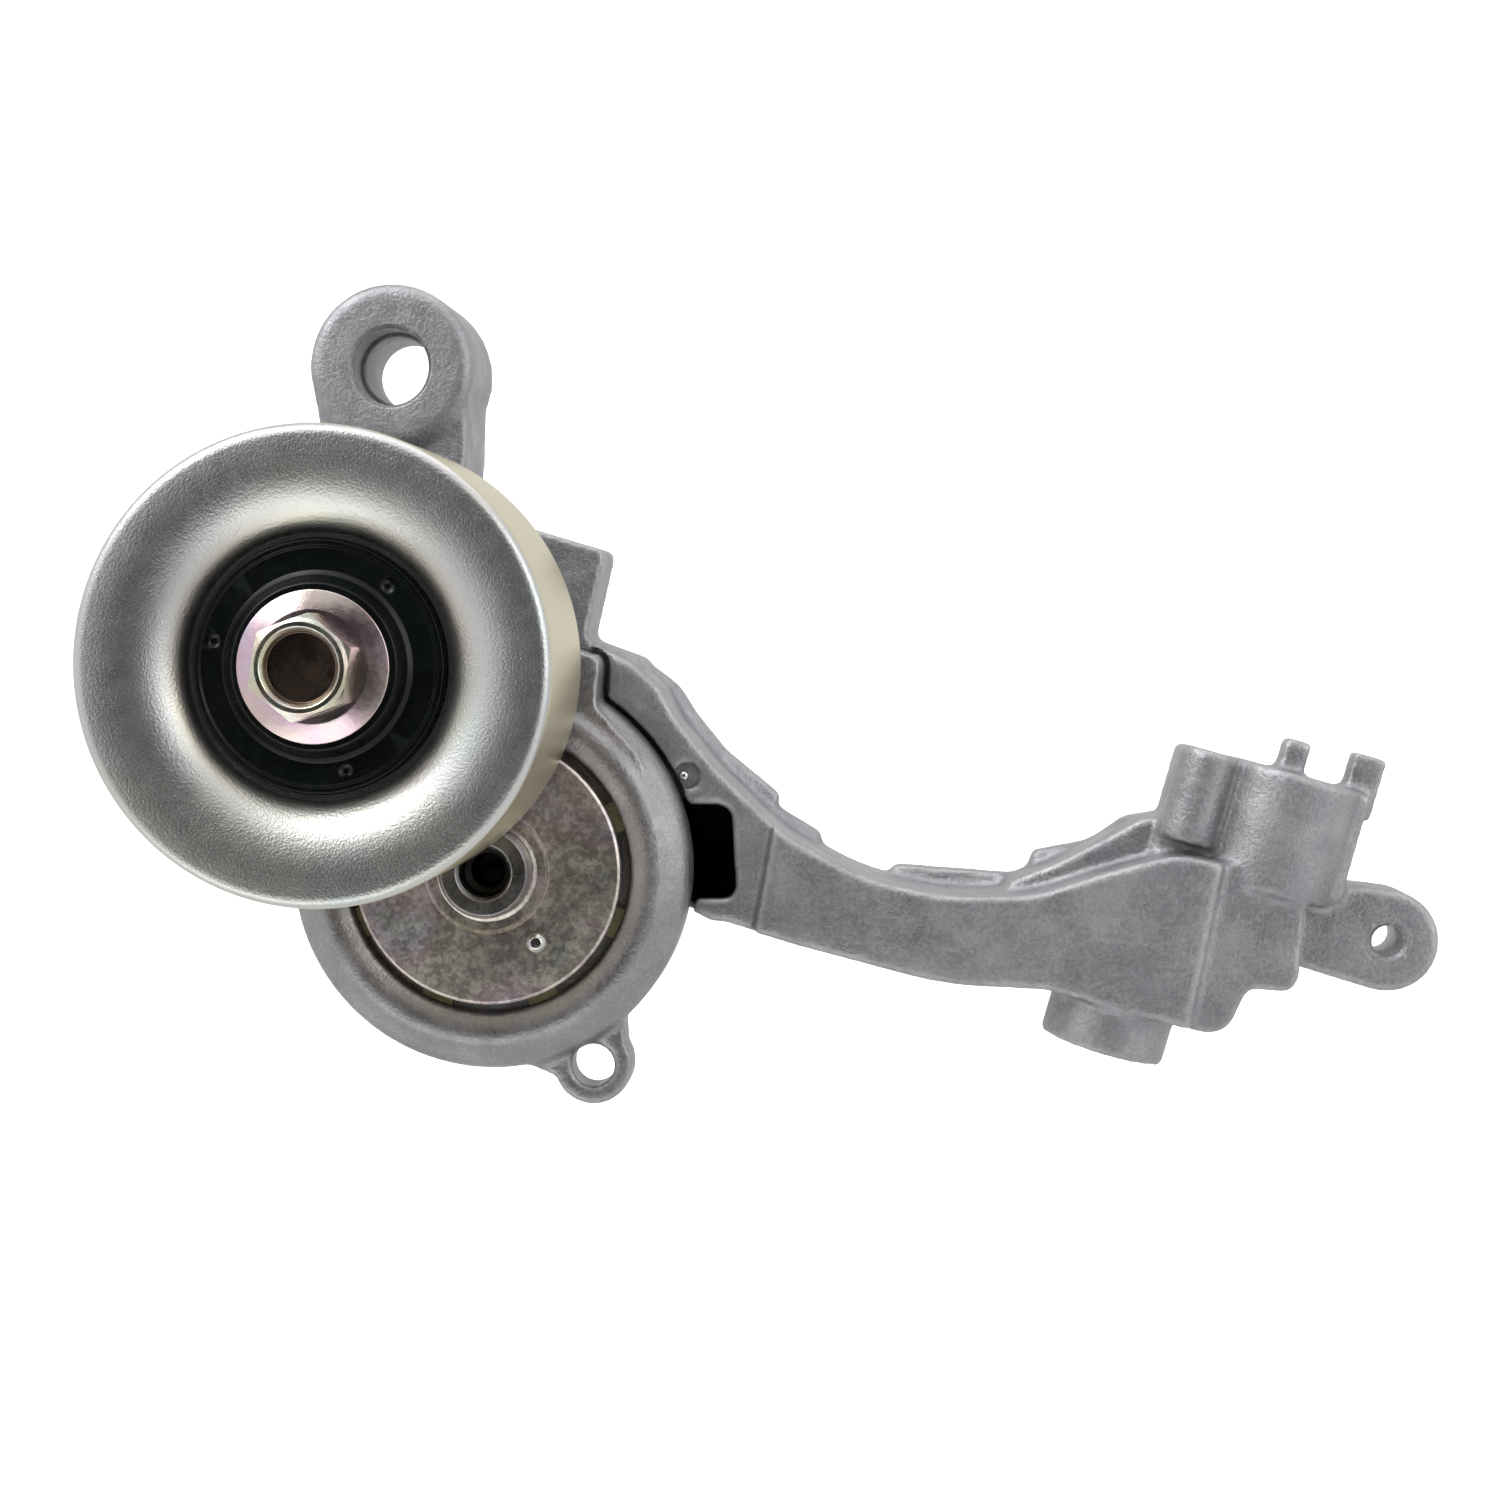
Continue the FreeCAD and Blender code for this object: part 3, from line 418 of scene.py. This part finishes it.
recolour(FINISHES["plated_pulley_steel"], (0.46, 0.43, 0.41, 1), turning_marks)
recolour(FINISHES["plated_pulley_steel"], (0.72, 0.66, 0.47, 1), belt_zone)
recolour(FINISHES["passivated_bolt"], (0.15, 0.11, 0.085, 1), recess_zone)
# Painted shade: near-black laid down inside the hole in the post.
recolour(FINISHES["turned_aluminium"], (0.012, 0.011, 0.010, 1), post_bore_shade_zone)
# Painted shade: near-black laid over the walls inside the window between the ring and the beam.
recolour(FINISHES["cast_aluminium"], (0.006, 0.006, 0.006, 1), window_shade_zone)


# ---- modelling helpers -----------------------------------------------------------------

def only(piece):
    """Selects one object and makes it active."""
    bpy.ops.object.select_all(action="DESELECT")
    piece.select_set(True)
    bpy.context.view_layer.objects.active = piece


def apply_place(piece):
    only(piece)
    bpy.ops.object.transform_apply(location=True, rotation=True, scale=True)


def modify(piece, kind, **settings):
    """Adds a modifier and applies it."""
    only(piece)
    modifier = piece.modifiers.new(kind.lower(), kind)
    for name, value in settings.items():
        setattr(modifier, name, value)
    bpy.ops.object.modifier_apply(modifier=modifier.name)


def carve(piece, tool, operation="DIFFERENCE"):
    modify(piece, "BOOLEAN", operation=operation, object=tool, solver="EXACT")
    bpy.data.objects.remove(tool, do_unlink=True)


def deliver(piece, name, body, slot, *nodes, angle=30.0):
    """Names a finished piece and gives it its shading, finish and body."""
    piece.name = name
    piece.data.name = name
    only(piece)
    bpy.ops.object.shade_smooth_by_angle(angle=math.radians(angle))
    piece.data.materials.clear()
    piece.data.materials.append(FINISHES[slot])
    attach(piece, body)
    if nodes:
        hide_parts(*nodes)
    return piece


def rounded(corners, arc_steps=5):
    """The stops of a closed profile whose (radius, y, rounding) corners are rounded off."""
    flat = [Vector((r, y)) for r, y, _ in corners]
    stops = []
    for index, (_, _, rounding) in enumerate(corners):
        corner = flat[index]
        before = flat[index - 1] - corner
        after = flat[(index + 1) % len(flat)] - corner
        if not rounding:
            stops.append(corner)
            continue
        half = before.angle(after) / 2
        reach = min(rounding / math.tan(half), before.length * 0.48, after.length * 0.48)
        start, end = corner + before.normalized() * reach, corner + after.normalized() * reach
        for step in range(arc_steps + 1):
            t = step / arc_steps
            stops.append(start.lerp(corner, t).lerp(corner.lerp(end, t), t))
    return stops


def turned(axis, corners, sides=144):
    """A piece turned about an axis along Y: a ring extruded stop by stop round its profile."""
    stops = rounded(corners)
    first = max(range(len(stops)), key=lambda index: stops[index].x)
    stops = stops[first:] + stops[:first + 1]
    bpy.ops.object.select_all(action="DESELECT")
    bpy.ops.mesh.primitive_circle_add(
        vertices=sides, radius=stops[0].x * MM, rotation=(math.pi / 2, 0, 0),
        location=(axis.x * MM, stops[0].y * MM, axis.z * MM))
    piece = bpy.context.object
    apply_place(piece)
    bpy.ops.object.mode_set(mode="EDIT")
    bpy.ops.mesh.select_all(action="SELECT")
    tiny = 0.002
    for here, there in zip(stops, stops[1:]):
        step = (0, (there.y - here.y) * MM, 0)
        bpy.ops.mesh.extrude_region_move(TRANSFORM_OT_translate={"value": step})
        growth = max(there.x, tiny) / max(here.x, tiny)
        bpy.ops.transform.resize(value=(growth, 1, growth),
                                 center_override=(axis.x * MM, there.y * MM, axis.z * MM))
    bpy.ops.mesh.select_all(action="SELECT")
    bpy.ops.mesh.remove_doubles(threshold=tiny * 1.5 * MM)
    bpy.ops.mesh.normals_make_consistent(inside=False)
    bpy.ops.object.mode_set(mode="OBJECT")
    return piece


def block(kind, location, **settings):
    """A primitive at a place in millimetres, with its lengths in millimetres."""
    bpy.ops.object.select_all(action="DESELECT")
    lengths = {key: value * MM for key, value in settings.items() if key in ("radius", "depth")}
    others = {key: value for key, value in settings.items() if key not in lengths}
    add = getattr(bpy.ops.mesh, f"primitive_{kind}_add")
    add(location=Vector(location) * MM, **lengths, **others)
    piece = bpy.context.object
    apply_place(piece)
    return piece


def casting_from(node, grain, softness):
    """A cast skin over a node's own shape, its edges and corners softened as in a die."""
    source = frame["nodes"][node]
    piece = source.copy()
    piece.data = source.data.copy()
    bpy.context.collection.objects.link(piece)
    piece.parent = None
    piece.matrix_world = Matrix.Identity(4)
    only(piece)
    bpy.ops.object.mode_set(mode="EDIT")
    bpy.ops.mesh.select_all(action="SELECT")
    bpy.ops.mesh.remove_doubles(threshold=0.002 * MM)
    bpy.ops.object.mode_set(mode="OBJECT")
    modify(piece, "REMESH", mode="VOXEL", voxel_size=grain * MM, adaptivity=0.0)
    modify(piece, "SMOOTH", factor=0.5, iterations=softness)
    return piece


# ---- castings --------------------------------------------------------------------------

def make_bracket():
    """The bracket's casting, with the round mark of an ejector pin cut clean afterwards."""
    piece = casting_from("mounting_bracket", 0.67, 4)
    mark_radius, mark_length = 2.2, 4.0
    carve(piece, block("cylinder", (31.8, -20.8, 15.0), vertices=48, radius=mark_radius,
                       depth=mark_length, rotation=(math.pi / 2, 0, 0)))
    deliver(piece, "bracket_casting", "bracket", "cast_aluminium", "mounting_bracket", angle=60)


def make_lug_face():
    """The machined face and stepped bore in the lug, clean where the casting is soft."""
    casting = bpy.data.objects["bracket_casting"]
    back, front = -0.1, LUG_FRONT + 0.02
    bore, counterbore, counterbore_end = 5.65, 6.25, LUG_FRONT + 7.0
    opening, skirt, face, face_back = 8.6, 8.8, 10.9, LUG_FRONT + 0.6
    carve(casting, block("cylinder", (LUG.x, LUG_FRONT / 2, LUG.z), vertices=96,
                         radius=opening, depth=24.0, rotation=(math.pi / 2, 0, 0)))
    piece = turned(LUG, [
        (skirt, back, 0), (skirt, face_back, 0), (face, face_back, 0), (face, front, 0.2),
        (6.9, front, 0.3), (counterbore, LUG_FRONT + 0.8, 0.3),
        (counterbore, counterbore_end, 0), (bore, counterbore_end, 0.2), (bore, back, 0.2),
    ], sides=128)
    deliver(piece, "lug_machining", "bracket", "cast_aluminium")


def make_ear_thread():
    """A clean chamfered edge for the tapped hole in the beam's ear."""
    casting = bpy.data.objects["bracket_casting"]
    back, front = -0.3, EAR_FRONT + 0.02
    thread, chamfer, opening, rim = 2.55, 3.2, 3.7, 3.9
    carve(casting, block("cylinder", (BEAM_EAR.x, EAR_FRONT / 2, BEAM_EAR.z), vertices=64,
                         radius=opening, depth=20.0, rotation=(math.pi / 2, 0, 0)))
    piece = turned(BEAM_EAR, [
        (rim, back, 0), (rim, front, 0.1), (chamfer, front, 0.1),
        (thread, EAR_FRONT + 0.7, 0.1), (thread, back, 0),
    ], sides=96)
    deliver(piece, "ear_thread_rim", "bracket", "cast_aluminium")


def make_pin_bead():
    """The bright bead in the ejector pin's mark."""
    piece = block("uv_sphere", (31.3, -19.1, 15.0), radius=0.9, segments=32, ring_count=16)
    deliver(piece, "pin_bead", "bracket", "bright_steel")


def make_arm():
    piece = casting_from("tensioner_arm", 0.55, 4)
    deliver(piece, "arm_casting", "arm", "cast_aluminium_arm", "tensioner_arm", angle=60)


# ---- pulley ----------------------------------------------------------------------------

def make_service_hole():
    """A clean bore through the arm's small ear."""
    casting = bpy.data.objects["arm_casting"]
    bore_radius, drill_length = 3.5, 30.0
    carve(casting, block("cylinder", SERVICE, vertices=64, radius=bore_radius,
                         depth=drill_length, rotation=(math.pi / 2, 0, 0)))


def make_pulley():
    """The pressed shell: rounded edge, trumpet face, bearing seat and belt surface."""
    low, high = span("pulley_shell")
    radius, front, back = (high.x - low.x) / 2, low.y, high.y
    bearing_low, bearing_high = span("bearing_outer_ring")
    seat, bearing_front = (bearing_high.x - bearing_low.x) / 2, bearing_low.y
    wall, crest = 2.3, radius - 4.0
    reach, depth = crest - seat, bearing_front - front

    def bell(inset):
        """The face's roll inwards from its crest to the seat, as a quarter ellipse."""
        turns = [math.pi / 2 * step / 12 for step in range(13)]
        return [(crest - (reach - inset) * math.sin(turn),
                 bearing_front - (depth - inset) * math.cos(turn), 0) for turn in turns]

    piece = turned(PULLEY, [
        (radius, back, 0.5), (radius, front, 3.6), *bell(0), (seat, back - 12.0, 0.4),
        (seat + wall, back - 12.0, 0.4), *reversed(bell(wall)),
        (radius - wall, front + wall, 1.5), (radius - wall, back, 0.5),
    ], sides=192)
    deliver(piece, "pulley_pressing", "pulley", "plated_pulley_steel", "pulley_shell")


def make_dust_cover():
    """The black cover with its raised crown and three dimples."""
    low, high = span("dust_cover")
    radius, crown_front = (high.x - low.x) / 2, low.y
    front = crown_front + 2.7
    skin = 0.8
    piece = turned(PULLEY, [
        (5.2, crown_front, 0.1), (12.4, crown_front, 0.5), (13.6, front - 0.5, 0.6),
        (14.4, front, 0.5), (radius - 1.5, front, 0.3), (radius - 1.1, front - 0.35, 0.25),
        (radius - 0.3, front - 0.3, 0.3), (radius, front + 0.5, 0.3),
        (radius, front + skin + 0.3, 0.1), (radius - 0.8, front + skin + 0.3, 0.1),
        (radius - 1.0, front + skin, 0.1), (14.0, front + skin, 0.3),
        (12.0, crown_front + skin, 0.3), (5.2, crown_front + skin, 0.1),
    ])
    circle, dimple_radius, proud = 16.0, 1.65, 0.95
    for degrees in (48.0, 166.0, 285.0):
        angle = math.radians(degrees)
        spot = (PULLEY.x + circle * math.cos(angle), front - proud,
                PULLEY.z + circle * math.sin(angle))
        carve(piece, block("uv_sphere", spot, radius=dimple_radius, segments=32,
                           ring_count=20))
    deliver(piece, "dust_cover_pressing", "arm", "black_cover", "dust_cover")


def make_bolt_washer():
    low, high = span("bolt_washer")
    radius, back, front = (high.x - low.x) / 2, high.y, low.y
    piece = turned(PULLEY, [
        (5.2, back, 0.1), (radius - 0.1, back, 0.15), (radius, back - 0.5, 0.25),
        (8.4, front + 0.1, 1.5), (7.3, front, 0.3), (5.2, front, 0.1),
    ])
    deliver(piece, "conical_washer", "arm", "passivated_washer", "bolt_washer")


def make_bolt():
    """Hexagon head with a turned chamfer, a rolled rim round its recess, and the shank."""
    low, high = span("pulley_bolt")
    top, tip = low.y, high.y
    base = span("bolt_washer")[0].y
    recess_floor = top + 1.7
    across_flats = 14.0
    piece = turned(PULLEY, [
        (11.0, base, 0), (11.0, base - 5.2, 0), (7.2, top + 0.35, 0.5), (6.6, top, 0.5),
        (5.9, top, 0.45), (5.4, top + 0.6, 0.3), (5.2, recess_floor, 0.3),
        (0.0, recess_floor + 0.15, 0), (0.0, base, 0),
    ])
    prism = block("cylinder", (PULLEY.x, (base + top) / 2, PULLEY.z), vertices=6,
                  radius=across_flats / math.sqrt(3), depth=base - top + 2.0,
                  rotation=(math.pi / 2, math.radians(9.7), 0))
    modify(prism, "BEVEL", width=0.3 * MM, segments=3, limit_method="ANGLE",
           angle_limit=math.radians(50))
    carve(piece, prism, "INTERSECT")
    shank = turned(PULLEY, [
        (0.0, base - 0.5, 0), (4.99, base - 0.5, 0), (4.99, tip - 0.8, 0.1), (4.2, tip, 0.1),
        (0.0, tip, 0),
    ], sides=64)
    carve(piece, shank, "UNION")
    deliver(piece, "hexagon_bolt", "arm", "passivated_bolt", "pulley_bolt", angle=25)


# ---- pivot -----------------------------------------------------------------------------

def make_front_plate():
    """The steel disc with a coined ring round the post and a rolled edge."""
    low, high = span("front_plate")
    radius, front, back = (high.x - low.x) / 2, low.y, high.y
    piece = turned(PIVOT, [
        (6.0, back, 0), (radius, back, 0.2), (radius, front + 0.3, 0.3),
        (radius - 0.5, front, 0.4), (10.2, front, 0.5), (9.6, front + 0.35, 0.4),
        (8.2, front + 0.35, 0.3), (7.6, front + 0.1, 0.3), (6.0, front + 0.1, 0),
    ])
    deliver(piece, "retaining_plate", "bracket", "passivated_steel", "front_plate")


def make_pivot_post():
    """The post, its head spread over the plate round a stepped hole."""
    low, high = span("pivot_post")
    front, back = low.y, high.y
    plate_low, plate_high = span("front_plate")
    piece = turned(PIVOT, [
        (0.0, back, 0), (8.0, back, 0.3), (8.0, plate_high.y, 0.1), (5.98, plate_high.y, 0),
        (5.98, plate_low.y + 0.12, 0), (7.45, plate_low.y + 0.12, 0.2), (7.5, front + 0.9, 0.5),
        (6.9, front, 0.4), (4.6, front, 0.4), (4.0, front + 0.7, 0.3),
        (3.9, front + 4.2, 0.4), (2.7, front + 4.7, 0.3), (2.5, front + 9.0, 0.5),
        (0.0, front + 9.6, 0),
    ], sides=96)
    deliver(piece, "staked_post", "bracket", "turned_aluminium", "pivot_post")


def make_rivet():
    low, high = span("plate_rivet")
    middle = (low + high) / 2
    radius, front, back = (high.x - low.x) / 2, low.y, high.y
    piece = turned(middle, [
        (0.0, back, 0), (0.9, back, 0.1), (0.9, front + radius * 0.9, 0.1),
        (radius, front + radius * 0.86, 0.25), (radius * 0.95, front + radius * 0.45, 0.5),
        (radius * 0.6, front + 0.08, 0.5), (0.0, front, 0),
    ], sides=48)
    deliver(piece, "domed_rivet", "bracket", "bright_steel", "plate_rivet")


make_bracket()
make_lug_face()
make_ear_thread()
make_pin_bead()
make_arm()
make_service_hole()
make_pulley()
make_dust_cover()
make_bolt_washer()
make_bolt()
make_front_plate()
make_pivot_post()
make_rivet()

# Nodes that keep their own shape take their slot's finish.
KEPT = ("pivot_bushing", "thrust_washer", "damping_ring", "torsion_spring",
        "bearing_inner_ring", "bearing_outer_ring", "bearing_balls", "bearing_cage",
        "front_seal", "rear_seal", "spacer_sleeve", "rear_dust_shield")
SLOTS = {entry["node"]: entry["material_slot"] for entry in frame["record"]["subparts"]}
for node in KEPT:
    frame["nodes"][node].data.materials.clear()
    frame["nodes"][node].data.materials.append(FINISHES[SLOTS[node]])


# ---- stage, light and camera -------------------------------------------------------------

def make_sweep():
    """A pale floor that curves up into a backdrop."""
    floor_level, half_width, depth = -0.11, 3.0, 1.6
    bpy.ops.object.select_all(action="DESELECT")
    bpy.ops.mesh.primitive_plane_add(size=2 * half_width, location=(0, depth - half_width,
                                                                     floor_level))
    sweep = bpy.context.object
    apply_place(sweep)
    bpy.ops.object.mode_set(mode="EDIT")
    bpy.ops.mesh.select_all(action="DESELECT")
    bpy.ops.object.mode_set(mode="OBJECT")
    for vertex in sweep.data.vertices:
        vertex.select = vertex.co.y > depth - 0.01
    bpy.ops.object.mode_set(mode="EDIT")
    bpy.ops.mesh.select_mode(type="EDGE")
    bpy.ops.mesh.extrude_region_move(TRANSFORM_OT_translate={"value": (0, 0, 3.0)})
    bpy.ops.object.mode_set(mode="OBJECT")
    modify(sweep, "BEVEL", width=0.6, segments=16, limit_method="ANGLE")
    only(sweep)
    bpy.ops.object.shade_smooth()
    sweep.name = "sweep"
    paper = bpy.data.materials.new("sweep_paper")
    paper.use_nodes = True
    shader = paper.node_tree.nodes["Principled BSDF"]
    shader.inputs["Base Color"].default_value = (0.93, 0.93, 0.93, 1)
    shader.inputs["Roughness"].default_value = 0.9
    shader.inputs["Emission Color"].default_value = (1.0, 1.0, 1.0, 1)
    shader.inputs["Emission Strength"].default_value = 0.85
    sweep.data.materials.append(paper)
    sweep.visible_diffuse = sweep.visible_glossy = False


def make_flag():
    """A black card behind the camera, which surfaces facing the front reflect."""
    bpy.ops.object.select_all(action="DESELECT")
    side, place = 1.0, (0.02, -0.85, 0.10)
    bpy.ops.mesh.primitive_plane_add(size=side, location=place, rotation=(math.pi / 2, 0, 0))
    flag = bpy.context.object
    apply_place(flag)
    flag.name = "black_flag"
    felt = bpy.data.materials.new("black_felt")
    felt.use_nodes = True
    shader = felt.node_tree.nodes["Principled BSDF"]
    shader.inputs["Base Color"].default_value = (0.01, 0.01, 0.01, 1)
    shader.inputs["Roughness"].default_value = 0.95
    flag.data.materials.append(felt)
    flag.visible_camera = False


def softbox(name, location, target, width, height, power):
    light = bpy.data.lights.new(name, "AREA")
    light.shape = "RECTANGLE"
    light.size, light.size_y, light.energy = width, height, power
    lamp = bpy.data.objects.new(name, light)
    lamp.location = location
    lamp.rotation_euler = (Vector(target) - Vector(location)).to_track_quat("-Z", "Y").to_euler()
    bpy.context.collection.objects.link(lamp)


def make_lights():
    centre = (0.03, 0.0, 0.02)
    softbox("key_softbox", (-0.55, -0.50, 0.70), centre, 0.6, 0.6, 5.0)
    softbox("fill_softbox", (0.80, -0.55, 0.35), centre, 0.5, 0.8, 2.0)
    softbox("top_softbox", (0.1, -0.05, 0.95), centre, 1.4, 0.6, 2.5)
    softbox("low_softbox", (-0.25, -0.55, -0.55), centre, 0.9, 0.3, 1.0)
    world = bpy.context.scene.world or bpy.data.worlds.new("studio")
    bpy.context.scene.world = world
    world.use_nodes = True
    background = world.node_tree.nodes["Background"]
    background.inputs["Color"].default_value = (1.0, 1.0, 1.0, 1)
    background.inputs["Strength"].default_value = 0.80


def make_camera():
    """Level with the lug, in front of the long beam and turned a little to its left."""
    image_side, focal_in_image = 1500.0, 2346.0
    camera_data = bpy.data.cameras.new("camera")
    camera_data.sensor_width = 36.0
    camera_data.lens = camera_data.sensor_width * focal_in_image / image_side
    camera = bpy.data.objects.new("camera", camera_data)
    camera.location = Vector((67.4, -401.7, 37.4)) * MM
    pitch, yaw, roll = math.radians(-2.72), math.radians(3.78), math.radians(0.16)
    turn = Matrix.Rotation(yaw, 3, "Z") @ Matrix.Rotation(pitch, 3, "X") @ Matrix.Rotation(
        roll, 3, "Y")
    camera.rotation_euler = (turn @ Matrix.Rotation(math.pi / 2, 3, "X")).to_euler()
    bpy.context.collection.objects.link(camera)
    bpy.context.scene.camera = camera


make_sweep()
make_flag()
make_lights()
make_camera()
bpy.context.scene.view_settings.view_transform = "Standard"
